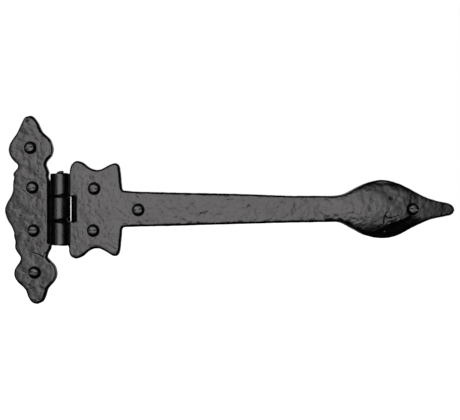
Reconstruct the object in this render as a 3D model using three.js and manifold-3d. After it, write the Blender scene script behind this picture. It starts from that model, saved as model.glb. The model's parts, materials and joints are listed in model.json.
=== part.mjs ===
// Cast-iron tee hinge for a door or gate: a frame plate and a long strap with a leaf-shaped end, which turn
// on one pin, and the eight round-head wood screws that hold them. Millimetres, +Z up along the pin.
// The back faces lie on the plane y = 0, the fronts face -Y, and the strap runs along +X.
import * as THREE from 'three';
import { mergeVertices } from 'three/addons/utils/BufferGeometryUtils.js';
import Module from 'manifold-3d';

const wasm = await Module();
wasm.setup();

// ---- Driving dimensions -------------------------------------------------------------------------------
const STRAP_REACH = 304.8; // 12 in, from the pin's axis to the strap's tip
const LEAF_THICKNESS = 5; // of the frame plate and of the strap's flat stretches
const EDGE_ROUND = 1; // cast round on the front edges

const BARREL_RADIUS = 7.15;
const BARREL_ENDS = [-27.9, 27.2]; // heights of its lower and upper ends
const MIDDLE_KNUCKLE = 19; // length of the frame plate's knuckle
const KNUCKLE_GAP = 0.3; // side play between neighbouring knuckles

const PIN_RADIUS = 2.7;
const PIN_BORE_RADIUS = 3;
const PIN_PROUD = 2.5; // how far the top of its cut end stands above the barrel
const PIN_RECESS = 0.5; // how far the other end lies inside the barrel
const PIN_CUT_LEAN = 0.09; // radians, the sheared upper end falls away from the strap ...
const PIN_CUT_TILT = 0.44; // ... and towards the front

const PIN_X = 22.4; // the pin's axis, from the centre of the frame plate
const PIN_Y = -BARREL_RADIUS; // so the barrel's back is flush with the leaves' backs

const PLATE_BEVEL_FRONT = 11; // distance from the pin's axis to the bevel beside the barrel, at the front
const PLATE_BEVEL_BACK = 7.6; // and at the back face
const PLATE_BEVEL_ENDS = [-26.6, 23]; // heights between which the bevel runs
const PLATE_EDGE_ENDS = [-25.4, 20.2]; // heights between which the plate's edge is straight
// The web between the frame plate and its knuckle: a step down from the plate's front, then a slope that
// ends under the barrel. Each is [distance from the pin's axis, thickness].
const WEB_STEP = [10.6, 3.9];
const WEB_END = [6, 1.6];
const SLOT_FRONT = 11.7; // distance from the pin's axis to the strap slot's sloping end, at the front
const SLOT_BACK = 6.1; // and at the back face

const DOME_HEIGHT = 8.4; // of the leaf-shaped end's crown above the back face
const DOME_CENTRE = 248; // its distance from the pin's axis
const DOME_REACH = { back: 60, tip: 50 }; // half length towards the pin and towards the tip
const DOME_HALF_WIDTH = 25.6;
const DOME_INSET = 0.6; // narrow flat rim between the dome and the outline
const TAIL_START = 276.9; // distance from the pin's axis at which the dome passes into the straight tail
const TAIL_TIP = { height: 5.1, halfWidth: 9 }; // the tail's front at the tip, before it is trimmed

const SCREW_HEAD_RADIUS = 4.65; // number 10 round head
const SCREW_HEAD_HEIGHT = 3.4;
const SCREW_RADIUS = 2.4;
const SCREW_ROOT_RADIUS = 1.7;
const SCREW_LENGTH = 25.4; // 1 in, under the head
const SCREW_PLAIN = 9; // unthreaded length under the head
const SCREW_POINT = 3.5; // length of the pointed end
const SCREW_THREADS = 5;
const SCREW_SLOT = { width: 1.1, depth: 1.4, sawRadius: 6 }; // sawn deepest in the middle, not to the rim
const SCREW_HOLE_RADIUS = 2.7;
const SEAT_GAP = 0.3; // between a screw's head and the leaf it holds
const SEAT_RADIUS = 5; // of the flat spot that is ground into the dome under the last screw

// Each screw: its node's name, place and the turn of its slot in degrees.
const PLATE_SCREWS = [
  { name: 'plate_screw_top', x: -1.6, z: 47.3, turn: 12 },
  { name: 'plate_screw_upper', x: 0.1, z: 16.5, turn: -8 },
  { name: 'plate_screw_lower', x: 0.9, z: -16.8, turn: 16 },
  { name: 'plate_screw_bottom', x: 1.7, z: -49.3, turn: 3 },
];
const STRAP_SCREWS = [
  { name: 'crown_screw_upper', x: 47.9, z: 15.7, turn: -6 },
  { name: 'crown_screw_lower', x: 47.2, z: -16.8, turn: 14 },
  { name: 'neck_screw', x: 82, z: -0.8, turn: 20 },
  { name: 'spear_screw', x: 294, z: -0.3, turn: -14 },
];

// ---- Outlines, as [x, z] points that smooth curves run through ----------------------------------------
// The frame plate's free side, from its upper point down to its lower one: a round lobe at each end, a
// shouldered waist next to each lobe and one blunt bulge in the middle.
const PLATE_FREE_SIDE = [
  [-2.4, 72.3], [-5.9, 71], [-7.9, 68], [-10, 63.4], [-12.3, 58.8], [-15.9, 53.6], [-18.1, 49.2],
  [-18.5, 44.6], [-17, 40.4], [-14.2, 36.8], [-11.6, 34.2], [-11.9, 31.4], [-14.2, 28.6], [-15, 26.6],
  [-14.4, 24.6], [-15.1, 20], [-15.3, 14.4], [-16.6, 10.2], [-19.4, 5.4], [-21.4, 0.4], [-20.9, -4.2],
  [-18.8, -9.4], [-16, -14.2], [-14.5, -18.4], [-14.5, -21.4], [-13.5, -25.2], [-13.8, -29.4],
  [-12.8, -32.2], [-10.8, -35.2], [-9.4, -38.2], [-10.3, -41.4], [-12.7, -44.8], [-14.3, -48.8],
  [-13.8, -53], [-11.5, -56.8], [-7.8, -60.2], [-5.3, -63.2], [-3.8, -67], [-2.1, -70.8], [0.4, -72.9],
  [3.2, -73.6],
];
// Its hinge side, back up from the lower point to the bump beside the barrel's lower end ...
const PLATE_HINGE_SIDE_LOWER = [
  [3.2, -73.6], [7.2, -72], [9.2, -68.8], [10.3, -65.4], [11.2, -62.2], [13.8, -59], [16.5, -55.8],
  [18, -52.2], [18.1, -48.6], [17.3, -45.4], [15.2, -42.2], [12.4, -39.6], [10.7, -37.2], [11.8, -34],
  [13.4, -30.9], [14, -27.4],
];
// ... and from the barrel's upper end to the upper point.
const PLATE_HINGE_SIDE_UPPER = [
  [12.5, 22], [11.6, 25.2], [11.9, 28.4], [10.8, 31.6], [9.7, 34.8], [11, 37.8], [13.8, 41], [15, 44.2],
  [15.2, 47.4], [14.5, 50.6], [13.2, 53.8], [10.3, 56.8], [7.1, 59.8], [5.3, 62.9], [4, 66], [2, 69.4],
  [-0.2, 71.6], [-2.4, 72.3],
];
// The strap's crown: two horns and a hollow between them, above the barrel ...
const CROWN_UPPER = [
  [28.8, 26.8], [29.3, 31], [30.4, 34], [32, 36.2], [34.4, 37.1], [37.4, 36.5], [40, 34.9], [43.4, 32.2],
  [47, 30.6], [50.4, 30.2], [53.8, 31], [58.4, 33.5], [62.4, 35.2], [65.2, 35.1], [67, 33], [67.6, 29],
  [68.1, 24], [68.6, 19], [68.8, 16.2], [69.6, 14.6], [71.7, 13.9],
];
// ... and below it, from the strap's neck back to the barrel.
const CROWN_LOWER = [
  [71.7, -13.9], [69.9, -14.4], [68.9, -16], [68.7, -20], [68.1, -25], [67.6, -30], [66.8, -34],
  [65.1, -36.2], [62.4, -36.2], [58.8, -34.3], [54.6, -31.7], [50.6, -30.5], [46.4, -31], [42.8, -33],
  [39.2, -36], [35.7, -38], [32.7, -38.2], [30.1, -36.6], [28.5, -33.4], [28.3, -30.2],
  [27.5, -28.3],
];
// The strap from the crown to the tip, as [distance from the tip, half width above and below its middle].
const NECK_AND_LEAF = [
  [243, 13.2, 13.4], [220, 12.6, 13], [197, 12.1, 12.3], [165, 11.4, 11.4], [132, 10.2, 10.5],
  [113, 10, 10.2], [96, 10, 9.9], [90, 10.4, 10.1], [86, 11.4, 11.4], [81, 13.8, 14.1], [75.6, 16.7, 17.1],
  [70, 19.2, 19.8], [63.6, 21.3, 21.6], [57.6, 22.3, 22.4], [51, 21.9, 22.2], [45, 20.2, 20.7],
  [39, 17.8, 18], [34, 15.2, 15.1], [29, 12.4, 12.7], [24, 9.7, 10.2], [18.6, 7.7, 8], [13, 6.1, 6.7],
  [7.4, 4.9, 5.5], [3.6, 3.9, 4.7], [1.3, 2.3, 3.5], [0, -0.7, 0.7],
];

// ---- Shared tools -------------------------------------------------------------------------------------
const FAR = 400; // reaches past the hinge's edges when a cut has no other limit
const WELD = 1e-4; // vertices this close are one
const BARREL_SIDES = 40;
const BORE_SIDES = 20;
const STEPS_PER_POINT = 3; // straight steps from one outline point to the next
const DOME_SIDES = 40;
const DOME_RINGS = 20;

function toSolid(geometry) {
  geometry.deleteAttribute('normal');
  geometry.deleteAttribute('uv');
  const welded = mergeVertices(geometry, WELD);
  const vertProperties = new Float32Array(welded.attributes.position.array);
  const triVerts = new Uint32Array(welded.index.array);
  return new wasm.Manifold(new wasm.Mesh({ numProp: 3, vertProperties, triVerts }));
}

function toGeometry(solid) {
  const { vertProperties, triVerts } = solid.getMesh();
  const geometry = new THREE.BufferGeometry();
  geometry.setAttribute('position', new THREE.BufferAttribute(vertProperties, 3));
  geometry.setIndex(new THREE.BufferAttribute(triVerts, 1));
  const faceted = geometry.toNonIndexed();
  faceted.computeVertexNormals();
  return faceted;
}

const toPoints = (pairs) => pairs.map(([x, z]) => new THREE.Vector2(x, z));

// Turns a shape drawn in x and z into a body from y = 0 to the front, with its front edge rounded.
function castLeaf(shape) {
  const geometry = new THREE.ExtrudeGeometry(shape, {
    depth: LEAF_THICKNESS,
    bevelThickness: EDGE_ROUND,
    bevelSize: EDGE_ROUND,
    bevelOffset: -EDGE_ROUND,
    bevelSegments: 2,
    curveSegments: STEPS_PER_POINT,
  });
  geometry.rotateX(Math.PI / 2);
  geometry.translate(0, EDGE_ROUND, 0);
  const behindBack = box(-FAR, FAR, 0, FAR, -FAR, FAR); // the back edge stays square
  return toSolid(geometry).subtract(behindBack);
}

function box(x0, x1, y0, y1, z0, z1) {
  const geometry = new THREE.BoxGeometry(x1 - x0, y1 - y0, z1 - z0);
  geometry.translate((x0 + x1) / 2, (y0 + y1) / 2, (z0 + z1) / 2);
  return toSolid(geometry);
}

// A cylinder around the pin's axis.
function aroundPin(radius, z0, z1, sides) {
  const geometry = new THREE.CylinderGeometry(radius, radius, z1 - z0, sides);
  geometry.rotateX(Math.PI / 2);
  geometry.translate(PIN_X, PIN_Y, (z0 + z1) / 2);
  return toSolid(geometry);
}

// A bar along Z whose section is a polygon given as [x, y] points.
function barAlongZ(section, z0, z1) {
  const shape = new THREE.Shape(toPoints(section));
  const geometry = new THREE.ExtrudeGeometry(shape, { depth: z1 - z0, bevelEnabled: false });
  geometry.translate(0, 0, z0);
  return toSolid(geometry);
}

function drill(solid, screws) {
  for (const { x, z } of screws) {
    const hole = new THREE.CylinderGeometry(SCREW_HOLE_RADIUS, SCREW_HOLE_RADIUS, FAR, BORE_SIDES);
    hole.translate(x, 0, z);
    solid = solid.subtract(toSolid(hole));
  }
  return solid;
}

// Height of the strap's front above its back, at a place along the centre line before the tail.
function strapHeight(x) {
  const past = x - PIN_X - DOME_CENTRE;
  const along = past / (past < 0 ? DOME_REACH.back : DOME_REACH.tip);
  if (Math.abs(along) >= 1) return LEAF_THICKNESS;
  return Math.max(LEAF_THICKNESS, DOME_HEIGHT * Math.sqrt(1 - along * along));
}

// Grinds a flat spot for a screw's head into the dome.
function grindSeat(solid, { x, z }) {
  const spot = new THREE.CylinderGeometry(SEAT_RADIUS, SEAT_RADIUS, DOME_HEIGHT, BORE_SIDES);
  spot.translate(x, -strapHeight(x) - DOME_HEIGHT / 2, z);
  return solid.subtract(toSolid(spot));
}

// ---- Frame plate with the middle knuckle --------------------------------------------------------------
function makeFramePlate() {
  const edgeX = PIN_X - PLATE_BEVEL_BACK;
  const outline = new THREE.Shape();
  outline.moveTo(...PLATE_FREE_SIDE[0]);
  outline.splineThru(toPoints(PLATE_FREE_SIDE.slice(1)));
  outline.splineThru(toPoints(PLATE_HINGE_SIDE_LOWER.slice(1)));
  outline.lineTo(edgeX, PLATE_EDGE_ENDS[0]);
  outline.lineTo(edgeX, PLATE_EDGE_ENDS[1]);
  outline.lineTo(...PLATE_HINGE_SIDE_UPPER[0]);
  outline.splineThru(toPoints(PLATE_HINGE_SIDE_UPPER.slice(1)));
  let plate = castLeaf(outline);

  const overFront = 1; // the cut starts this far in front of the face
  const slope = (PLATE_BEVEL_FRONT - PLATE_BEVEL_BACK) / LEAF_THICKNESS;
  const bevel = [
    [PIN_X - PLATE_BEVEL_FRONT - overFront * slope, -LEAF_THICKNESS - overFront],
    [PIN_X, -LEAF_THICKNESS - overFront],
    [PIN_X, 0],
    [edgeX, 0],
  ];
  plate = plate.subtract(barAlongZ(bevel, ...PLATE_BEVEL_ENDS));

  const half = MIDDLE_KNUCKLE / 2;
  const web = [
    [PIN_X - PLATE_BEVEL_FRONT, 0],
    [PIN_X - PLATE_BEVEL_FRONT, -LEAF_THICKNESS],
    [PIN_X - WEB_STEP[0], -WEB_STEP[1]],
    [PIN_X - WEB_END[0], -WEB_END[1]],
    [PIN_X, -WEB_END[1]],
    [PIN_X, 0],
  ];
  plate = plate.add(barAlongZ(web, -half, half)).add(aroundPin(BARREL_RADIUS, -half, half, BARREL_SIDES));
  plate = plate.subtract(aroundPin(PIN_BORE_RADIUS, -FAR, FAR, BORE_SIDES));
  return drill(plate, PLATE_SCREWS);
}

// ---- Strap with the outer knuckles, the crown, the neck and the leaf-shaped end -----------------------
function makeStrap() {
  const tipX = PIN_X + STRAP_REACH;
  const upperEdge = NECK_AND_LEAF.map(([back, above]) => [tipX - back, above]);
  const lowerEdge = NECK_AND_LEAF.map(([back, , below]) => [tipX - back, -below]).reverse();
  const [barrelLow, barrelHigh] = BARREL_ENDS;
  const outline = new THREE.Shape();
  outline.moveTo(...CROWN_UPPER[0]);
  outline.splineThru(toPoints([...CROWN_UPPER.slice(1), ...upperEdge]));
  outline.splineThru(toPoints([...lowerEdge.slice(1), ...CROWN_LOWER]));
  outline.lineTo(PIN_X, barrelLow);
  outline.lineTo(PIN_X, barrelHigh);
  let strap = castLeaf(outline).add(makeDome(upperEdge, lowerEdge));

  // One barrel, then the slot that parts it into two knuckles and clears the frame plate's knuckle.
  strap = strap.add(aroundPin(BARREL_RADIUS, barrelLow, barrelHigh, BARREL_SIDES));
  const slope = (SLOT_FRONT - SLOT_BACK) / LEAF_THICKNESS;
  const inFront = 3 * BARREL_RADIUS; // distance that the slot's cut reaches in front of the back face
  const slot = [
    [-FAR, -inFront],
    [PIN_X + SLOT_BACK + inFront * slope, -inFront],
    [PIN_X + SLOT_BACK - slope, 1],
    [-FAR, 1],
  ];
  const slotHalf = MIDDLE_KNUCKLE / 2 + KNUCKLE_GAP;
  strap = strap.subtract(barAlongZ(slot, -slotHalf, slotHalf));
  strap = strap.subtract(aroundPin(PIN_BORE_RADIUS, -FAR, FAR, BORE_SIDES));
  strap = grindSeat(strap, STRAP_SCREWS.at(-1));
  return drill(strap, STRAP_SCREWS);
}

// The domed front of the leaf-shaped end: an egg-shaped dome which passes into a straight tail, trimmed just
// inside the outline.
function makeDome(upperEdge, lowerEdge) {
  const outline = new THREE.Shape();
  outline.moveTo(...upperEdge[0]);
  outline.splineThru(toPoints(upperEdge.slice(1)));
  outline.splineThru(toPoints(lowerEdge.slice(1)));
  const column = new THREE.ExtrudeGeometry(outline, {
    depth: 2 * DOME_HEIGHT,
    bevelThickness: 1,
    bevelSize: 0,
    bevelOffset: -DOME_INSET,
    bevelSegments: 1,
    curveSegments: STEPS_PER_POINT,
  });
  const clearOfBack = 2; // the dome starts inside the leaf, this far in front of its back face
  column.rotateX(Math.PI / 2);
  column.translate(0, -clearOfBack, 0);
  const dome = new THREE.SphereGeometry(1, DOME_SIDES, DOME_RINGS);
  const places = dome.attributes.position;
  for (let i = 0; i < places.count; i += 1) {
    const along = places.getX(i);
    places.setX(i, along * (along < 0 ? DOME_REACH.back : DOME_REACH.tip));
  }
  dome.scale(1, DOME_HEIGHT, DOME_HALF_WIDTH);
  dome.translate(PIN_X + DOME_CENTRE, 0, 0);
  const whole = toSolid(dome);
  const tailX = PIN_X + TAIL_START;
  const slice = whole.intersect(box(tailX - 1, tailX, -FAR, 0, -FAR, FAR));
  const tipX = PIN_X + STRAP_REACH;
  const tip = box(tipX, tipX + 1, -TAIL_TIP.height, 0, -TAIL_TIP.halfWidth, TAIL_TIP.halfWidth);
  const tail = wasm.Manifold.hull([slice, tip]);
  return whole.add(tail).intersect(toSolid(column));
}

// ---- Pin ----------------------------------------------------------------------------------------------
function makePin() {
  const bottom = BARREL_ENDS[0] + PIN_RECESS;
  const top = BARREL_ENDS[1] + PIN_PROUD;
  const pin = aroundPin(PIN_RADIUS, bottom, top, BORE_SIDES);
  const cut = new THREE.BoxGeometry(FAR, FAR, FAR);
  cut.translate(0, 0, FAR / 2);
  cut.rotateY(-PIN_CUT_LEAN);
  cut.rotateX(PIN_CUT_TILT);
  cut.translate(PIN_X, PIN_Y, top - PIN_RADIUS * Math.tan(PIN_CUT_TILT));
  return pin.subtract(toSolid(cut));
}

// ---- Wood screw, head towards -Y and its seat at y = 0 ------------------------------------------------
function makeScrew() {
  const headSides = 20;
  const shankSides = 10;
  const headSteps = 5;
  const sawSides = 40;
  const rim = 0.7; // short upright edge under the dome
  const rootAt = 0.35; // places of a thread's root and crest, as parts of its pitch
  const crestAt = 0.8;
  const headProfile = [new THREE.Vector2(0, 0), new THREE.Vector2(SCREW_HEAD_RADIUS, 0)];
  for (let i = 0; i <= headSteps; i += 1) {
    const angle = (i / headSteps) * (Math.PI / 2);
    const rise = rim + (SCREW_HEAD_HEIGHT - rim) * Math.sin(angle);
    headProfile.push(new THREE.Vector2(SCREW_HEAD_RADIUS * Math.cos(angle), -rise));
  }
  headProfile[headProfile.length - 1].x = 0;

  const shankProfile = [new THREE.Vector2(0, -1), new THREE.Vector2(SCREW_RADIUS, -1)];
  shankProfile.push(new THREE.Vector2(SCREW_RADIUS, SCREW_PLAIN));
  const pitch = (SCREW_LENGTH - SCREW_POINT - SCREW_PLAIN) / SCREW_THREADS;
  for (let i = 0; i < SCREW_THREADS; i += 1) {
    const y = SCREW_PLAIN + i * pitch;
    shankProfile.push(new THREE.Vector2(SCREW_ROOT_RADIUS, y + pitch * rootAt));
    shankProfile.push(new THREE.Vector2(SCREW_RADIUS, y + pitch * crestAt));
  }
  shankProfile.push(new THREE.Vector2(0, SCREW_LENGTH));

  const head = toSolid(new THREE.LatheGeometry(headProfile.reverse(), headSides));
  const shank = toSolid(new THREE.LatheGeometry(shankProfile, shankSides));
  const { width, depth, sawRadius } = SCREW_SLOT;
  const blade = new THREE.CylinderGeometry(sawRadius, sawRadius, width, sawSides);
  blade.rotateX(Math.PI / 2);
  blade.translate(0, depth - SCREW_HEAD_HEIGHT - sawRadius, 0);
  return head.add(shank).subtract(toSolid(blade));
}

// ---- Assembly -----------------------------------------------------------------------------------------
const blackPaint = new THREE.MeshStandardMaterial({ color: 0x1c1c1d, roughness: 0.42, metalness: 0.3 });
const screwPaint = new THREE.MeshStandardMaterial({ color: 0x222223, roughness: 0.4, metalness: 0.3 });
const pinSteel = new THREE.MeshStandardMaterial({ color: 0x2a2928, roughness: 0.5, metalness: 0.5 });

function named(name, geometry, material) {
  const mesh = new THREE.Mesh(geometry, material);
  mesh.name = name;
  return mesh;
}

const hinge = new THREE.Group();
hinge.add(named('frame_plate', toGeometry(makeFramePlate()), blackPaint));
hinge.add(named('strap', toGeometry(makeStrap()), blackPaint));
hinge.add(named('hinge_pin', toGeometry(makePin()), pinSteel));

const screwGeometry = toGeometry(makeScrew());
for (const { name, x, z, turn } of [...PLATE_SCREWS, ...STRAP_SCREWS]) {
  const screw = named(name, screwGeometry, screwPaint);
  const height = strapHeight(x);
  screw.position.set(x, -height - SEAT_GAP, z);
  screw.rotation.y = THREE.MathUtils.degToRad(-turn);
  hinge.add(screw);
}

export default hinge;
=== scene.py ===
"""Looks of a black-painted, hammered cast-iron tee hinge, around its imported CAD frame. Metres, +Z up."""

import json
import math
import random

import bmesh
import bpy
import numpy as np
from mathutils import Matrix, Vector, noise
from mathutils.kdtree import KDTree


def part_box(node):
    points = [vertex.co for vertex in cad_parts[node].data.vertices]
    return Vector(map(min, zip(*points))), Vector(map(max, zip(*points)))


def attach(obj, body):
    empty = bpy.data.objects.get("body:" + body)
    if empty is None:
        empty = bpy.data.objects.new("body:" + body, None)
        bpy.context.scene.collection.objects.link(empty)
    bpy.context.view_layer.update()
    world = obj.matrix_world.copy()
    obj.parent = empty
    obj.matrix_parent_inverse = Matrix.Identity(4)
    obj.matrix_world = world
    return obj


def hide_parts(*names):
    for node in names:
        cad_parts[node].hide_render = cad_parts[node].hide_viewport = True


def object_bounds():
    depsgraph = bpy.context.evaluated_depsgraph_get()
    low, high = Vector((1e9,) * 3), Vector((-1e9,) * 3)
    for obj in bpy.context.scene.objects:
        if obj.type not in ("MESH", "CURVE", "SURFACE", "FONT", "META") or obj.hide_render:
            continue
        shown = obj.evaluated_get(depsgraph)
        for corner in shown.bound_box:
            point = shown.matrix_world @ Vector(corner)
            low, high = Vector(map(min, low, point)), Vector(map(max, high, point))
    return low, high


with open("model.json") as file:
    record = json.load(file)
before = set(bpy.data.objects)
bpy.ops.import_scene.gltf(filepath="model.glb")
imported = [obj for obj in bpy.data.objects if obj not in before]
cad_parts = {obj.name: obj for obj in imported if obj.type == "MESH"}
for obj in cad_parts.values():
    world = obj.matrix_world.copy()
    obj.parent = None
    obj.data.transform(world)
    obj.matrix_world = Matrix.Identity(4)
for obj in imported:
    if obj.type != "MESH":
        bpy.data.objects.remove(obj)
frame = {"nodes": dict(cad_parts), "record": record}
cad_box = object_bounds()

MM = 0.001

# ---- Driving values ------------------------------------------------------------------------------

LEAF_THICKNESS = 5 * MM
VOXEL = 0.42 * MM  # mesh size of the two castings
PIN_VOXEL = 0.25 * MM
SMOOTHING = 4  # smoothing steps that take the facets off the castings
EDGE_ROUND = 1.25 * MM  # more round on the front edges than the CAD model has
SHOULDER_WIDTH = 3.6 * MM  # the front also falls away gently near its edges
SHOULDER_DROP = 0.28 * MM
SMOOTHING_LOSS = 0.3 * MM  # how far smoothing pulls the walls in, given back afterwards
BARREL_CLEARANCE = 9.2 * MM  # the rounding of the edges keeps this far from the pin's axis
WALL_RETURN = (6.2 * MM, 8.2 * MM)  # and between these the walls begin to get back what smoothing took
BARREL_END_ROUND = 0.9 * MM  # round on the two ends of the barrel
JOINT_ROUND = 1.8 * MM  # and on the ends of the knuckles, where they meet
WORN_ROUND = 3.6 * MM  # the middle knuckle's lower end is worn this far on the strap's side
KNUCKLE_REACH = 7.5 * MM  # points nearer to the pin's axis than this belong to the knuckles
KNUCKLE_GAP = 0.3 * MM  # between two knuckles in the CAD model ...
KNUCKLE_CLOSING = 0.14 * MM  # ... and each end grows by this, so that the joints look closed
KNUCKLE_SWELL = 0.45 * MM  # the frame plate's knuckle is fuller by this on the strap's side
HIGHLIGHT_BULGE = 0.3 * MM  # the strap's knuckles are fuller on one side and flatter on the other by this
SLOT_WIDENING = 0.65 * MM  # the wall of the strap's slot stands back by up to this
SEED = 11

# Hammer marks: (spacing, radius, depth).
LARGE_MARKS = (4.4 * MM, 4.2 * MM, 0.15 * MM)
SMALL_MARKS = (2.6 * MM, 1.7 * MM, 0.1 * MM)
WALL_WAVE = 0.14 * MM
BACK_WAVE = 0.12 * MM
PLATE_PITS = 90
STRAP_PITS = 150
# Stretches along the strap, each (where the change begins, where it is complete).
NECK_START = (60 * MM, 80 * MM)
LEAF_START = (255 * MM, 285 * MM)
SMALL_MARKS_FADE = (250 * MM, 275 * MM)
TAIL_START = (298 * MM, 308 * MM)

CAD_HEAD_HEIGHT = 3.4 * MM
CAD_SEAT_GAP = 0.3 * MM  # between a CAD head and the leaf
HEAD_HEIGHT = 2.9 * MM
HEAD_RADIUS = 4.4 * MM
SEAT_DEPTH = 0.45 * MM  # each head sits in a shallow recess of the casting ...
SEAT_RIM = (4.4 * MM, 4.85 * MM)  # ... whose wall lies between these radii
SHANK_RADIUS = 2.4 * MM
ROOT_RADIUS = 1.75 * MM
SCREW_SEAT_GAP = 0.05 * MM  # between the plane of a shown head's seat and the leaf's front
THREAD_PITCH = 1.95 * MM  # 13 threads per inch

FLOOR_DROP = 0.05
FLOOR_HALF_WIDTH = 6

# Degrees that each screw's slot is turned from level, seen from the front.
SLOT_TURNS = {
    "plate_screw_top": 12,
    "plate_screw_upper": -8,
    "plate_screw_lower": 16,
    "plate_screw_bottom": 3,
    "crown_screw_upper": -6,
    "crown_screw_lower": 14,
    "neck_screw": 20,
    "spear_screw": -14,
}


# ---- Mesh tools ----------------------------------------------------------------------------------


def add_object(name, mesh):
    obj = bpy.data.objects.new(name, mesh)
    bpy.context.scene.collection.objects.link(obj)
    return obj


def bake_modifiers(obj):
    """Turns the object's modifiers into its mesh."""
    bpy.context.view_layer.update()
    shown = obj.evaluated_get(bpy.context.evaluated_depsgraph_get())
    mesh = bpy.data.meshes.new_from_object(shown)
    obj.modifiers.clear()
    obj.data = mesh
    return obj


def remeshed_copy(node, name, voxel, smoothing):
    """A fine, even, closed mesh of a CAD node, with its edges rounded."""
    obj = add_object(name, frame["nodes"][node].data.copy())
    obj.data.materials.clear()
    remesh = obj.modifiers.new("remesh", "REMESH")
    remesh.mode = "VOXEL"
    remesh.voxel_size = voxel
    smooth = obj.modifiers.new("smooth", "SMOOTH")
    smooth.factor = 0.5
    smooth.iterations = smoothing
    return bake_modifiers(obj)


def read_points(mesh):
    points = np.empty(len(mesh.vertices) * 3)
    mesh.vertices.foreach_get("co", points)
    normals = np.empty(len(mesh.vertices) * 3)
    mesh.vertices.foreach_get("normal", normals)
    return points.reshape(-1, 3), normals.reshape(-1, 3)


def write_points(mesh, points):
    mesh.vertices.foreach_set("co", points.astype(np.float32).ravel())
    mesh.update()


def fractal(points, wavelength, octaves, seed):
    """Smooth noise of about -1 to 1 at each point."""
    shift = Vector((seed * 7.31, seed * 3.17, seed * 5.73))
    return np.array([noise.fractal(Vector(p) / wavelength + shift, 0.8, 2.1, octaves) for p in points])


def ramp(values, low, high):
    t = np.clip((values - low) / (high - low), 0, 1)
    return t * t * (3 - 2 * t)


def dish(points, x, z, radius, stretch, angle):
    """0 to 1 inside an oval dent on the front, deepest in its middle."""
    dx, dz = points[:, 0] - x, points[:, 2] - z
    along = (dx * math.cos(angle) + dz * math.sin(angle)) / (radius * stretch)
    across = (-dx * math.sin(angle) + dz * math.cos(angle)) / radius
    inside = np.clip(1 - along * along - across * across, 0, 1)
    return inside * inside


def gouge(points, start, end, width):
    """0 to 1 across a short V-shaped groove from start to end, each (x, z)."""
    a, b = np.array(start), np.array(end)
    flat = points[:, [0, 2]] - a
    t = np.clip(flat @ (b - a) / ((b - a) @ (b - a)), 0, 1)
    away = np.linalg.norm(flat - t[:, None] * (b - a), axis=1)
    return np.clip(1 - away / width, 0, 1)


# ---- Castings ------------------------------------------------------------------------------------


def pin_place():
    low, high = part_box("hinge_pin")
    return (low.x + high.x) / 2, (low.y + high.y) / 2


def pin_distance(points):
    """Distance of each point from the pin's axis."""
    x, y = pin_place()
    return np.hypot(points[:, 0] - x, points[:, 1] - y)


def screw_distance(points):
    """Distance of each point, seen from the front, to the nearest screw's axis."""
    nearest = np.full(len(points), np.inf)
    for node in SLOT_TURNS:
        low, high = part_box(node)
        away = np.hypot(points[:, 0] - (low.x + high.x) / 2, points[:, 2] - (low.z + high.z) / 2)
        nearest = np.minimum(nearest, away)
    return nearest


def edge_distance(points, normals):
    """Distance of each point, seen from the front, to the nearest upright wall of the leaf."""
    free = (pin_distance(points) > BARREL_CLEARANCE) & (screw_distance(points) > HEAD_RADIUS)
    walls = np.flatnonzero((np.abs(normals[:, 1]) < 0.35) & (points[:, 1] > -4 * MM) & free)
    tree = KDTree(len(walls))
    for i in walls:
        tree.insert((points[i, 0], 0, points[i, 2]), int(i))
    tree.balance()
    return np.array([tree.find((x, 0, z))[2] for x, _, z in points])


def round_edges(mesh):
    """Rolls the leaf's front over towards its walls and gives the walls back what smoothing took."""
    points, normals = read_points(mesh)
    away = edge_distance(points, normals)
    away_from_pin = pin_distance(points)
    free = away_from_pin > BARREL_CLEARANCE
    size = EDGE_ROUND * (1 + 0.3 * fractal(points * [1, 0, 1], 9 * MM, 2, 5))
    short = np.clip(size - away, 0, size)
    drop = size - np.sqrt(size**2 - short**2)
    drop += SHOULDER_DROP * np.clip(1 - away / SHOULDER_WIDTH, 0, 1) ** 2
    side = (1 - ramp(np.abs(normals[:, 1]), 0.2, 0.9)) * ramp(away_from_pin, *WALL_RETURN)
    side *= screw_distance(points) > HEAD_RADIUS
    points[:, [0, 2]] += normals[:, [0, 2]] * (SMOOTHING_LOSS * side)[:, None]
    points[:, 1] *= 1 - np.where(free, drop / LEAF_THICKNESS, 0)
    write_points(mesh, points)


def round_knuckle_ends(mesh, ends):
    """Rounds the ends of a knuckle and closes its joints a little.

    Each end is (height, growth of the end face, round on the frame's side, round on the strap's side).
    """
    points, normals = read_points(mesh)
    x, y = pin_place()
    low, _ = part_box("strap")
    radius = y - low.y
    away = pin_distance(points)
    exposed = ramp(-(points[:, 1] - y) / radius, -0.75, -0.35)
    sideways = np.clip((points[:, 0] - x) / radius, -1, 1)
    for height, growth, frame_round, strap_round in ends:
        size = frame_round + (strap_round - frame_round) * (1 + sideways) / 2
        depth = np.abs(points[:, 2] - height)
        short = np.clip(size - depth, 0, size)
        limit = radius - size + np.sqrt(size**2 - short**2)
        over = np.where(away < 1.05 * radius, np.maximum(away - limit, 0) * (short > 0), 0)
        pull = exposed * over / np.maximum(away, 1e-6)
        points[:, 0] -= (points[:, 0] - x) * pull
        points[:, 1] -= (points[:, 1] - y) * pull
        flat_end = (depth < 0.6 * MM) & (np.abs(normals[:, 2]) > 0.7) & (away < radius)
        points[:, 2] += np.where(flat_end, growth, 0)
    write_points(mesh, points)


def turn_highlight(mesh, bulge):
    """Makes the outer knuckles a little fuller on the strap's side and flatter on the other."""
    points, normals = read_points(mesh)
    x, y = pin_place()
    angle = np.arctan2(points[:, 0] - x, -(points[:, 1] - y))
    away = pin_distance(points)
    front = ramp(np.cos(angle), 0.1, 0.5) * (away > 5 * MM) * (away < 8 * MM)
    points -= normals * (-bulge * front * np.sin(2 * angle - 0.5))[:, None]
    write_points(mesh, points)


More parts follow.
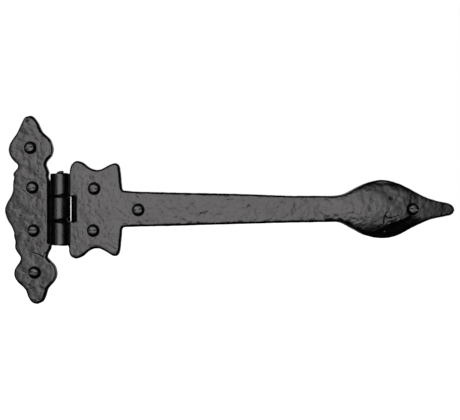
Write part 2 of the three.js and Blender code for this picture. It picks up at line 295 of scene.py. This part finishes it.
def swell_knuckle(mesh, amount):
    """Makes the frame plate's knuckle fuller on the strap's side."""
    points, _ = read_points(mesh)
    x, _ = pin_place()
    barrel = pin_distance(points) < 7.6 * MM
    points[:, 0] += np.where(barrel, amount * ramp(points[:, 0] - x, 4 * MM, 7 * MM), 0)
    write_points(mesh, points)


def move_slot_wall(mesh, amount):
    """Moves the wall of the strap's slot away from the pin, most at the back."""
    points, _ = read_points(mesh)
    low, high = knuckle_heights("frame_plate")
    middle, half = (low + high) / 2, (high - low) / 2
    wall = pin_place()[0] + 6.1 * MM - 1.1 * points[:, 1]
    beside = 1 - ramp(points[:, 0] - wall, 0.5 * MM, 4 * MM)
    level = 1 - ramp(np.abs(points[:, 2] - middle), half, half + 0.4 * MM)
    beside *= level * (points[:, 0] > wall - 1.5 * MM)
    points[:, 0] += amount * (1 + points[:, 1] / (9 * MM)) * beside
    write_points(mesh, points)


def hammer(points, box_low, box_high, spacing, radius, depth, rng):
    """Overlapping hammer dishes over a box, as a depth at each point."""
    sunk = np.zeros(len(points))
    count = int((box_high[0] - box_low[0]) * (box_high[2] - box_low[2]) / spacing**2)
    for _ in range(count):
        x = rng.uniform(box_low[0], box_high[0])
        z = rng.uniform(box_low[2], box_high[2])
        size = radius * rng.uniform(0.6, 1.5)
        stretch = rng.uniform(1, 1.8)
        angle = rng.uniform(0, math.pi)
        sunk += depth * rng.uniform(0.3, 1) * dish(points, x, z, size, stretch, angle)
    return sunk


def random_pits(points, box_low, box_high, count, rng):
    """Small casting pits scattered over a box, as a depth at each point."""
    sunk = np.zeros(len(points))
    for _ in range(count):
        x = rng.uniform(box_low[0], box_high[0])
        z = rng.uniform(box_low[2], box_high[2])
        size = rng.uniform(0.35, 0.8) * MM
        depth = rng.uniform(0.05, 0.18) * MM
        stretch = rng.uniform(1, 2)
        angle = rng.uniform(0, math.pi)
        sunk = np.maximum(sunk, depth * dish(points, x, z, size, stretch, angle))
    return sunk


def sculpt_casting(obj, dents, creases, relief, lowered, pit_count):
    """Gives a casting its hammered front, its dents, creases and pits, and its slightly wavy walls."""
    rng = random.Random(SEED)
    mesh = obj.data
    points, normals = read_points(mesh)
    low, high = points.min(0), points.max(0)
    front = ramp(-normals[:, 1], 0.1, 0.8)
    back = ramp(normals[:, 1], 0.3, 0.9)
    strength = relief(points)
    plain = 0.3 + 0.7 * ramp(pin_distance(points), 7.5 * MM, 9.5 * MM)  # the barrel is nearly smooth

    rolling = hammer(points, low, high, *LARGE_MARKS, rng)
    rolling += 0.14 * MM * fractal(points, 15 * MM, 3, 1)
    rolling *= strength
    grain = hammer(points, low, high, *SMALL_MARKS, rng)
    grain += 0.11 * MM * fractal(points, 3.4 * MM, 2, 6)
    along = points[:, 0]
    grain_strength = 0.75 + 0.35 * ramp(along, *NECK_START) - 0.45 * ramp(along, *SMALL_MARKS_FADE)
    rolling += grain * grain_strength
    rolling *= plain

    warp = np.stack([fractal(points, 1.7 * MM, 2, 7), 0 * points[:, 0], fractal(points, 1.7 * MM, 2, 8)], 1)
    ragged = points + 0.3 * MM * warp
    pits = random_pits(ragged, low, high, pit_count, rng)
    for x, z, long, wide, angle, depth in dents:
        pit = dish(ragged, x * MM, z * MM, wide * MM, long / wide, math.radians(angle))
        pits = pits + depth * MM * (1 - np.sqrt(1 - np.sqrt(pit)))
    cracks = 0
    for start, end, width, depth in creases:
        cracks = cracks + depth * MM * gouge(ragged, np.array(start) * MM, np.array(end) * MM, width * MM)
    seats = SEAT_DEPTH * (1 - ramp(screw_distance(points), *SEAT_RIM))
    walls = WALL_WAVE * fractal(points, 5 * MM, 3, 2)
    cast_back = BACK_WAVE * fractal(points, 5 * MM, 3, 3)

    inward = front * (rolling + pits + cracks + seats)
    inward += (1 - front) * (1 - back) * walls + back * cast_back
    points[:, 1] += lowered(points)
    points -= normals * inward[:, None]
    points[:, 1] = np.minimum(points[:, 1], 0)
    write_points(mesh, points)
    mesh.polygons.foreach_set("use_smooth", [True] * len(mesh.polygons))
    hollow = ramp(front * np.maximum(pits, 0), 0.04 * MM, 0.3 * MM)
    cavity = mesh.attributes.new("cavity", "FLOAT", "POINT")
    cavity.data.foreach_set("value", hollow.astype(np.float32))
    return obj


# Dents in the castings, each (x, z, half length, half width, degrees, depth), in millimetres; a bump has a
# negative depth.
PLATE_DENTS = [
    (3.1, 3.1, 1.1, 0.6, 35, 0.5),
    (-9.7, -5.2, 1.1, 0.65, 30, 0.4),
    (-0.8, -1.9, 0.5, 0.5, 0, 0.3),
    (3.1, 6.3, 1.5, 0.5, -10, 0.22),
    (4.4, 29.1, 1.3, 0.8, 90, 0.4),
    (6.6, 23.2, 0.9, 0.55, 30, 0.35),
    (8.3, 15.5, 0.6, 0.5, 0, 0.3),
    (-6.9, 8.5, 0.8, 0.6, 0, 0.2),
    (-3.2, -24.9, 1.4, 0.6, 15, 0.4),
    (6.7, -26, 0.6, 0.6, 0, 0.35),
    (5.5, -28.8, 0.9, 0.5, -30, 0.3),
    (4.5, -38.4, 0.7, 0.5, 0, 0.3),
    (2, -42.4, 0.6, 0.6, 0, 0.25),
    (7.6, -57, 1.6, 0.6, -45, 0.4),
    (-2.2, -59.2, 2, 1.2, 0, 0.25),
    (-4.2, 68.3, 2, 1.6, 20, 0.55),
    (-2.4, 68.8, 0.6, 0.6, 0, 0.3),
    (-10.8, 54.1, 1.5, 1, 40, 0.22),
    (-13.4, 42.5, 0.6, 0.5, 0, 0.3),
    (-12.2, 43.6, 0.5, 0.5, 0, 0.25),
    (-12.6, 41.2, 0.6, 0.4, 0, 0.25),
    (16.9, 4.2, 0.9, 0.6, 70, 0.4),
]
# Creases, each ((x, z) start, (x, z) end, half width, depth).
PLATE_CREASES = [
    ((-11.6, -2.8), (-8, -3.1), 0.5, 0.2),
    ((-8, -3.1), (-4.3, -4.5), 0.5, 0.2),
    ((0.8, -34.4), (4, -35), 0.7, 0.35),
    ((4, -35), (8.2, -37.6), 0.7, 0.45),
    ((8.2, -37.6), (10.2, -34.6), 0.7, 0.5),
    ((-10.8, -47.2), (-4.6, -49.5), 0.5, 0.16),
    ((1.8, 54.9), (4.8, 53), 0.6, 0.25),
    ((6.2, 51), (6.6, 43.3), 0.7, 0.2),
    ((3.5, 37.3), (4.3, 31.7), 1, 0.22),
]
STRAP_DENTS = [
    (42.9, 21.4, 0.8, 0.5, 60, 0.3),
    (44.1, 22.2, 0.5, 0.4, 0, 0.25),
    (33, 14.8, 0.6, 0.5, 0, 0.25),
    (34.6, 13.2, 0.6, 0.5, 40, 0.3),
    (36.1, 12.2, 0.7, 0.5, 0, 0.25),
    (32.6, 11.6, 0.5, 0.5, 0, 0.25),
    (35.4, 15.1, 0.6, 0.4, 30, 0.25),
    (32.3, -14.2, 0.6, 0.5, 0, 0.3),
    (34.4, -14.2, 0.5, 0.5, 0, 0.3),
    (55.9, -14.7, 0.6, 0.4, 30, 0.25),
    (277.2, 8.4, 2, 1.5, -30, 1),
    (271.9, -10.9, 1.1, 0.9, 60, 0.5),
    (266.2, 0.1, 1.3, 0.6, 40, 0.22),
    (275.5, -11.5, 1.8, 1.2, 25, -0.35),
    (283.2, -8.4, 1.9, 1.1, 30, -0.3),
    (272.8, -18, 1.4, 0.9, 10, -0.5),
    (294.1, -7.4, 1.3, 0.8, 40, -0.35),
]
STRAP_CREASES = [
    ((37.5, 2.9), (44.5, 1.9), 0.5, 0.16),
    ((60, -28.6), (64.6, -31.2), 1, 0.2),
    ((51.2, -5.4), (55.2, -9), 0.5, 0.15),
    ((273.6, -3.4), (272.5, -6.4), 0.8, 0.5),
    ((272.5, -6.4), (272.2, -9.6), 1.3, 0.9),
    ((273.4, -7.7), (277.7, -6.8), 0.7, 0.4),
    ((277.7, -6.8), (281.8, -5.6), 0.6, 0.35),
]


def plate_relief(points):
    """The frame plate is hammered evenly."""
    return np.full(len(points), 0.65)


def strap_relief(points):
    """The crown is the smoothest, then the tail and the neck, and the leaf-shaped end the roughest."""
    along = points[:, 0]
    leaf = 0.4 * ramp(along, *LEAF_START) - 0.6 * ramp(along, *TAIL_START)
    neck = 0.5 * ramp(along, *NECK_START)
    return 0.25 + neck + leaf - 0.5 * ramp(strap_flank(points), 0.3 * MM, 1 * MM)


def strap_flank(points):
    """The leaf-shaped end falls away more steeply below a slanting line on its lower side."""
    start, end = np.array((264, -17.5)) * MM, np.array((287, -7.2)) * MM
    along = (end - start) / np.linalg.norm(end - start)
    offset = points[:, [0, 2]] - start
    below = offset[:, 0] * along[1] - offset[:, 1] * along[0]
    reach = ramp(offset @ along, -6 * MM, 2 * MM) * (1 - ramp(offset @ along, 27 * MM, 40 * MM))
    drop = np.clip(0.4 * below, 0, 1.2 * MM) + np.clip(0.15 * (below - 3 * MM), 0, 0.9 * MM)
    return reach * drop * ramp(-points[:, 1], 1 * MM, 4.5 * MM)


def plate_web(points):
    """The web between the plate and its knuckle falls away a little more steeply towards the knuckle."""
    start = pin_place()[0] - 10.8 * MM
    low, high = knuckle_heights("frame_plate")
    drop = 0.24 * np.clip(points[:, 0] - start, 0, 3.8 * MM)
    drop *= ramp(pin_distance(points), 7.2 * MM, 7.9 * MM) * (points[:, 0] < start + 4 * MM)
    drop *= (points[:, 2] > low - 0.3 * MM) & (points[:, 2] < high + 0.3 * MM)
    return drop * ramp(-points[:, 1], 0.2 * MM, 1.2 * MM)


def knuckle_heights(node):
    """Lowest and highest CAD point of a node's knuckles, taken on their front half."""
    points, _ = read_points(frame["nodes"][node].data)
    in_front = points[:, 1] < pin_place()[1] - 1 * MM
    heights = points[in_front & (pin_distance(points) < KNUCKLE_REACH), 2]
    return heights.min(), heights.max()


def make_castings():
    low, high = knuckle_heights("frame_plate")
    plate = remeshed_copy("frame_plate", "frame_plate_casting", VOXEL, SMOOTHING)
    round_edges(plate.data)
    swell_knuckle(plate.data, KNUCKLE_SWELL)
    round_knuckle_ends(plate.data, [
        (low, -KNUCKLE_CLOSING, JOINT_ROUND, WORN_ROUND),
        (high, KNUCKLE_CLOSING, JOINT_ROUND, JOINT_ROUND),
    ])
    sculpt_casting(plate, PLATE_DENTS, PLATE_CREASES, plate_relief, plate_web, PLATE_PITS)

    bottom, top = knuckle_heights("strap")
    strap = remeshed_copy("strap", "strap_casting", VOXEL, SMOOTHING)
    round_edges(strap.data)
    turn_highlight(strap.data, HIGHLIGHT_BULGE)
    move_slot_wall(strap.data, SLOT_WIDENING)
    round_knuckle_ends(strap.data, [
        (bottom, 0, BARREL_END_ROUND, BARREL_END_ROUND),
        (low - KNUCKLE_GAP, KNUCKLE_CLOSING, JOINT_ROUND, JOINT_ROUND),
        (high + KNUCKLE_GAP, -KNUCKLE_CLOSING, JOINT_ROUND, JOINT_ROUND),
        (top, 0, BARREL_END_ROUND, BARREL_END_ROUND),
    ])
    sculpt_casting(strap, STRAP_DENTS, STRAP_CREASES, strap_relief, strap_flank, STRAP_PITS)
    return plate, strap


# ---- Pin and screws ------------------------------------------------------------------------------


def make_pin():
    pin = remeshed_copy("hinge_pin", "pin_rod", PIN_VOXEL, 3)
    points, normals = read_points(pin.data)
    points -= normals * (0.04 * MM * fractal(points, 2 * MM, 2, 4))[:, None]
    write_points(pin.data, points)
    pin.data.polygons.foreach_set("use_smooth", [True] * len(pin.data.polygons))
    return pin


def lathe(name, profile, sides):
    """A closed body of (radius, y) rings around Y; radius may be a function of the angle."""
    bm = bmesh.new()
    rings = []
    for radius, y in profile:
        ring = []
        for i in range(sides):
            angle = 2 * math.pi * i / sides
            r = radius(angle) if callable(radius) else radius
            ring.append(bm.verts.new((r * math.cos(angle), y, r * math.sin(angle))))
        rings.append(ring)
    for a, b in zip(rings, rings[1:]):
        for i in range(sides):
            j = (i + 1) % sides
            bm.faces.new((a[i], a[j], b[j], b[i]))
    bm.faces.new(list(reversed(rings[0])))
    bm.faces.new(rings[-1])
    bmesh.ops.recalc_face_normals(bm, faces=bm.faces)
    mesh = bpy.data.meshes.new(name)
    bm.to_mesh(mesh)
    bm.free()
    return mesh


def screw_mesh(length):
    """A slotted round head on a threaded shank, its seat at y = 0 and its head towards -Y."""
    crown_curve = 13 * MM  # radius of curvature of the head's middle ...
    crown_tilt = math.radians(12.5)  # ... up to this tilt, where the steeper side begins
    crown_reach = crown_curve * math.sin(crown_tilt)
    side_curve = (HEAD_RADIUS - crown_reach) / (1 - math.sin(crown_tilt))
    steps = 10
    base = SEAT_DEPTH - 0.1 * MM
    head_profile = [(SHANK_RADIUS, base + 0.6 * MM), (SHANK_RADIUS, base), (HEAD_RADIUS * 0.97, base)]
    side_top = -HEAD_HEIGHT + crown_curve * (1 - math.cos(crown_tilt))
    for i in range(steps):
        tilt = math.pi / 2 + (crown_tilt - math.pi / 2) * i / steps
        radius = HEAD_RADIUS - side_curve * (1 - math.sin(tilt))
        head_profile.append((radius, side_top + side_curve * (math.cos(crown_tilt) - math.cos(tilt))))
    for i in range(steps):
        tilt = crown_tilt * (1 - i / steps)
        fall = crown_curve * (1 - math.cos(tilt))
        head_profile.append((crown_curve * math.sin(tilt), -HEAD_HEIGHT + fall))
    head_profile.append((0.12 * MM, -HEAD_HEIGHT))
    head = add_object("screw_head_draft", lathe("screw_head", head_profile, 48))

    slot_depth = 1.3 * MM
    slot_width = 0.95 * MM
    saw_radius = 6 * MM
    slot = add_object("screw_slot_draft", bpy.data.meshes.new("screw_slot"))
    bm = bmesh.new()
    bmesh.ops.create_cone(
        bm, cap_ends=True, segments=64, radius1=saw_radius, radius2=saw_radius, depth=slot_width
    )
    bmesh.ops.translate(bm, vec=(0, slot_depth - HEAD_HEIGHT - saw_radius, 0), verts=bm.verts)
    bm.to_mesh(slot.data)
    bm.free()
    cut = head.modifiers.new("slot", "BOOLEAN")
    cut.object = slot
    cut.solver = "EXACT"
    bevel = head.modifiers.new("bevel", "BEVEL")
    bevel.width = 0.16 * MM
    bevel.segments = 2
    bevel.limit_method = "ANGLE"
    bevel.angle_limit = math.radians(35)
    bake_modifiers(head)
    bpy.data.objects.remove(slot)

    plain = 9 * MM
    point = 4 * MM
    steps = 96
    profile = []
    for i in range(steps + 1):
        y = 0.5 * MM + (length - 0.5 * MM) * i / steps
        taper = min(1, max(0.06, (length - y) / point))
        entry = min(1, max(0, (y - plain) / (1.2 * MM)))
        profile.append((thread_radius(y, taper, entry), y))
    shank = add_object("screw_shank_draft", lathe("screw_shank", profile, 24))
    join = head.modifiers.new("shank", "BOOLEAN")
    join.operation = "UNION"
    join.object = shank
    join.solver = "EXACT"
    bake_modifiers(head)
    bpy.data.objects.remove(shank)
    mesh = head.data
    bpy.data.objects.remove(head)
    mesh.polygons.foreach_set("use_smooth", [True] * len(mesh.polygons))
    return mesh


def thread_radius(y, taper, entry):
    def radius(angle):
        phase = (y / THREAD_PITCH - angle / (2 * math.pi)) % 1
        crest = max(0, 1 - abs(phase - 0.5) / 0.28)
        threaded = ROOT_RADIUS + (SHANK_RADIUS - ROOT_RADIUS) * crest
        return taper * (SHANK_RADIUS * (1 - entry) + threaded * entry)

    return radius


def make_screws():
    low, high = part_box("neck_screw")
    mesh = screw_mesh(high.y - low.y - CAD_HEAD_HEIGHT)
    screws = []
    for node, turn in SLOT_TURNS.items():
        low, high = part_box(node)
        screw = add_object(node + "_turned", mesh.copy())
        seat = Vector(((low.x + high.x) / 2, low.y + CAD_HEAD_HEIGHT, (low.z + high.z) / 2))
        seat.y += CAD_SEAT_GAP - SCREW_SEAT_GAP
        screw.data.transform(Matrix.Translation(seat) @ Matrix.Rotation(math.radians(-turn), 4, "Y"))
        screws.append((screw, node))
    return screws


# ---- Materials -----------------------------------------------------------------------------------


class Nodes:
    """Short helper for building a material's nodes."""

    def __init__(self, name):
        self.material = bpy.data.materials.new(name)
        self.material.use_nodes = True
        self.tree = self.material.node_tree
        self.shader = self.tree.nodes["Principled BSDF"]

    def add(self, kind, **settings):
        node = self.tree.nodes.new(kind)
        for key, value in settings.items():
            if key.startswith("in_"):
                node.inputs[key[3:].replace("_", " ")].default_value = value
            else:
                setattr(node, key, value)
        return node

    def link(self, out_socket, in_socket):
        self.tree.links.new(out_socket, in_socket)

    def noise(self, scale, detail, roughness=0.5):
        coords = self.tree.nodes.get("Texture Coordinate") or self.add("ShaderNodeTexCoord")
        texture = self.add("ShaderNodeTexNoise", in_Scale=scale, in_Detail=detail, in_Roughness=roughness)
        self.link(coords.outputs["Object"], texture.inputs["Vector"])
        return texture.outputs["Fac"]

    def sum(self, a, b):
        node = self.add("ShaderNodeMath", operation="ADD")
        self.link(a, node.inputs[0])
        self.link(b, node.inputs[1])
        return node.outputs["Value"]

    def ramp(self, value, low, high, dark, light):
        node = self.add("ShaderNodeMapRange")
        node.inputs["From Min"].default_value = low
        node.inputs["From Max"].default_value = high
        node.inputs["To Min"].default_value = dark
        node.inputs["To Max"].default_value = light
        self.link(value, node.inputs["Value"])
        return node.outputs["Result"]

    def colours(self, value, dark, light):
        node = self.add("ShaderNodeValToRGB")
        node.color_ramp.elements[0].position = 0.35
        node.color_ramp.elements[0].color = (*dark, 1)
        node.color_ramp.elements[1].position = 0.65
        node.color_ramp.elements[1].color = (*light, 1)
        self.link(value, node.inputs["Fac"])
        return node.outputs["Color"]

    def bump(self, height, strength, distance, below=None):
        node = self.add("ShaderNodeBump")
        node.inputs["Strength"].default_value = strength
        node.inputs["Distance"].default_value = distance
        self.link(height, node.inputs["Height"])
        if below:
            self.link(below, node.inputs["Normal"])
        return node.outputs["Normal"]


def painted_iron():
    """Satin black paint over a sand-cast surface, duller in patches and in the pits."""
    m = Nodes("black_paint_on_cast_iron")
    colour = m.colours(m.noise(90, 4), (0.0008, 0.0008, 0.0008), (0.0024, 0.0023, 0.0022))
    m.link(colour, m.shader.inputs["Base Color"])
    patches = m.ramp(m.noise(110, 5, 0.62), 0.36, 0.64, 0.24, 0.29)
    grain = m.ramp(m.noise(340, 4, 0.65), 0.34, 0.66, -0.03, 0.04)
    cavity = m.add("ShaderNodeAttribute", attribute_name="cavity")
    dull_pits = m.ramp(cavity.outputs["Fac"], 0, 1, 0, 0.45)
    m.link(m.sum(m.sum(patches, grain), dull_pits), m.shader.inputs["Roughness"])
    m.shader.inputs["Specular IOR Level"].default_value = 0.5
    coarse = m.bump(m.noise(480, 4, 0.6), 0.3, 0.1 * MM)
    fine = m.bump(m.noise(1900, 3), 0.3, 0.03 * MM, coarse)
    m.link(fine, m.shader.inputs["Normal"])
    return m.material


def painted_screw():
    """The same paint on smoother turned steel."""
    m = Nodes("black_paint_on_steel")
    colour = m.colours(m.noise(400, 3), (0.001, 0.001, 0.001), (0.003, 0.0029, 0.0028))
    m.link(colour, m.shader.inputs["Base Color"])
    m.link(m.ramp(m.noise(700, 4), 0.3, 0.7, 0.09, 0.2), m.shader.inputs["Roughness"])
    m.link(m.bump(m.noise(1500, 3), 0.3, 0.05 * MM), m.shader.inputs["Normal"])
    return m.material


def pin_steel():
    """Thin black paint on a sheared rod."""
    m = Nodes("thin_black_paint_on_rod")
    colour = m.colours(m.noise(900, 4), (0.012, 0.01, 0.008), (0.05, 0.042, 0.034))
    m.link(colour, m.shader.inputs["Base Color"])
    m.link(m.ramp(m.noise(1200, 4), 0.3, 0.7, 0.4, 0.6), m.shader.inputs["Roughness"])
    m.shader.inputs["Specular IOR Level"].default_value = 0.25
    m.link(m.bump(m.noise(2400, 3), 0.4, 0.06 * MM), m.shader.inputs["Normal"])
    return m.material


# ---- Stage ---------------------------------------------------------------------------------------


def make_camera():
    """Straight in front, level, aimed at the middle of the hinge."""
    distance = 450 * MM  # from the leaves' front faces
    view_width = 355.7 * MM
    camera = bpy.data.objects.new("camera", bpy.data.cameras.new("camera"))
    camera.data.sensor_width = 36
    camera.data.lens = 36 * distance / view_width
    camera.data.clip_start = 0.01
    camera.location = (153.1 * MM, -distance - LEAF_THICKNESS, -0.8 * MM)
    camera.rotation_euler = (math.pi / 2, 0, 0)
    bpy.context.scene.collection.objects.link(camera)
    bpy.context.scene.camera = camera


def soft_panel(name, distance, left, right, bottom, top, radiance):
    """An upright light panel between the given edges, in front of the hinge and facing it."""
    light = bpy.data.lights.new(name, "AREA")
    light.shape = "RECTANGLE"
    light.size = right - left
    light.size_y = top - bottom
    light.color = (1, 0.965, 0.965)
    light.energy = radiance * math.pi * light.size * light.size_y
    panel = bpy.data.objects.new(name, light)
    panel.location = ((left + right) / 2, -distance, (bottom + top) / 2)
    panel.rotation_euler = (math.pi / 2, 0, 0)
    panel.visible_camera = False
    bpy.context.scene.collection.objects.link(panel)


# Light panels, each (name, distance in front, left, right, bottom, top, radiance), in metres. The distances
# differ because panels in one plane would hide each other.
SOFT_PANELS = [
    ("softbox_crown", 1.17, -0.32, -0.12, -0.3, 0.4, 1.0),
    ("softbox_foot", 1.18, -0.65, -0.33, -0.36, -0.16, 2.1),
    ("softbox_crest", 1.19, -0.7, -0.33, 0.15, 0.6, 3.4),
    ("softbox_heart", 1.2, -0.3, 0.53, -0.2, 0.3, 0.65),
    ("softbox_core", 1.21, -0.32, 0.59, -0.32, 0.55, 1.45),
    ("softbox_middle", 1.22, -0.33, 0.76, -0.4, 0.8, 0.65),
    ("softbox_wide", 1.23, -0.33, 1.02, -0.44, 0.95, 0.4),
    ("softbox_outer", 1.24, -1.25, 1.02, -0.48, 1.1, 0.3),
    ("softbox_glow", 1.25, -1.7, 1.15, -0.52, 1.3, 0.3),
]


def make_lights():
    """One soft source in front, brightest over the strap, and more light for the frame plate's two ends."""
    for panel in SOFT_PANELS:
        soft_panel(*panel)


def map_range(nodes, from_min, from_max, to_min, to_max):
    node = nodes.new("ShaderNodeMapRange")
    node.inputs["From Min"].default_value = from_min
    node.inputs["From Max"].default_value = from_max
    node.inputs["To Min"].default_value = to_min
    node.inputs["To Max"].default_value = to_max
    return node


def make_world():
    """White behind the hinge; its reflections show a dim room with a back wall that is paler higher up."""
    world = bpy.data.worlds.new("studio")
    world.use_nodes = True
    bpy.context.scene.world = world
    tree = world.node_tree
    nodes, links = tree.nodes, tree.links
    direction = nodes.new("ShaderNodeTexCoord")
    split = nodes.new("ShaderNodeSeparateXYZ")
    wall = map_range(nodes, 0.5, 0.97, 0.003, 0.8)
    upwards = map_range(nodes, -0.3, 0.35, 0.45, 1.35)
    shaded = nodes.new("ShaderNodeMath")
    shaded.operation = "MULTIPLY"
    room = nodes["Background"]
    room.inputs["Color"].default_value = (1, 1, 1, 1)
    white = nodes.new("ShaderNodeBackground")
    white.inputs["Color"].default_value = (1, 1, 1, 1)
    path = nodes.new("ShaderNodeLightPath")
    mix = nodes.new("ShaderNodeMixShader")
    links.new(direction.outputs["Generated"], split.inputs["Vector"])
    links.new(split.outputs["Y"], wall.inputs["Value"])
    links.new(split.outputs["Z"], upwards.inputs["Value"])
    links.new(wall.outputs["Result"], shaded.inputs[0])
    links.new(upwards.outputs["Result"], shaded.inputs[1])
    links.new(shaded.outputs["Value"], room.inputs["Strength"])
    links.new(path.outputs["Is Camera Ray"], mix.inputs["Fac"])
    links.new(room.outputs["Background"], mix.inputs[1])
    links.new(white.outputs["Background"], mix.inputs[2])
    links.new(mix.outputs["Shader"], nodes["World Output"].inputs["Surface"])


def make_floor():
    low, _ = cad_box
    floor = add_object("floor", bpy.data.meshes.new("floor"))
    bm = bmesh.new()
    bmesh.ops.create_grid(bm, x_segments=1, y_segments=1, size=FLOOR_HALF_WIDTH)
    bm.to_mesh(floor.data)
    bm.free()
    floor.location = (0.15, 0, low[2] - FLOOR_DROP)
    m = Nodes("pale_floor")
    m.shader.inputs["Base Color"].default_value = (0.9, 0.9, 0.9, 1)
    m.shader.inputs["Roughness"].default_value = 0.8
    m.shader.inputs["Emission Color"].default_value = (1, 1, 1, 1)
    m.shader.inputs["Emission Strength"].default_value = 1
    floor.data.materials.append(m.material)
    floor.visible_glossy = False
    floor.visible_diffuse = False


# ---- Assembly ------------------------------------------------------------------------------------


def place(piece, node, body, material):
    """Shows a piece in place of its CAD node, on that node's body."""
    piece.data.materials.append(material)
    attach(piece, body)
    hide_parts(node)


make_camera()
bodies = frame["record"]["behaviour"]["bodies"]
body_of = {node: body for body, nodes in bodies.items() for node in nodes}

iron = painted_iron()
plate_casting, strap_casting = make_castings()
place(plate_casting, "frame_plate", body_of["frame_plate"], iron)
place(strap_casting, "strap", body_of["strap"], iron)
place(make_pin(), "hinge_pin", body_of["hinge_pin"], pin_steel())
screw_paint = painted_screw()
for screw, screw_node in make_screws():
    place(screw, screw_node, body_of[screw_node], screw_paint)

make_lights()
make_world()
make_floor()
bpy.context.scene.view_settings.view_transform = "Standard"
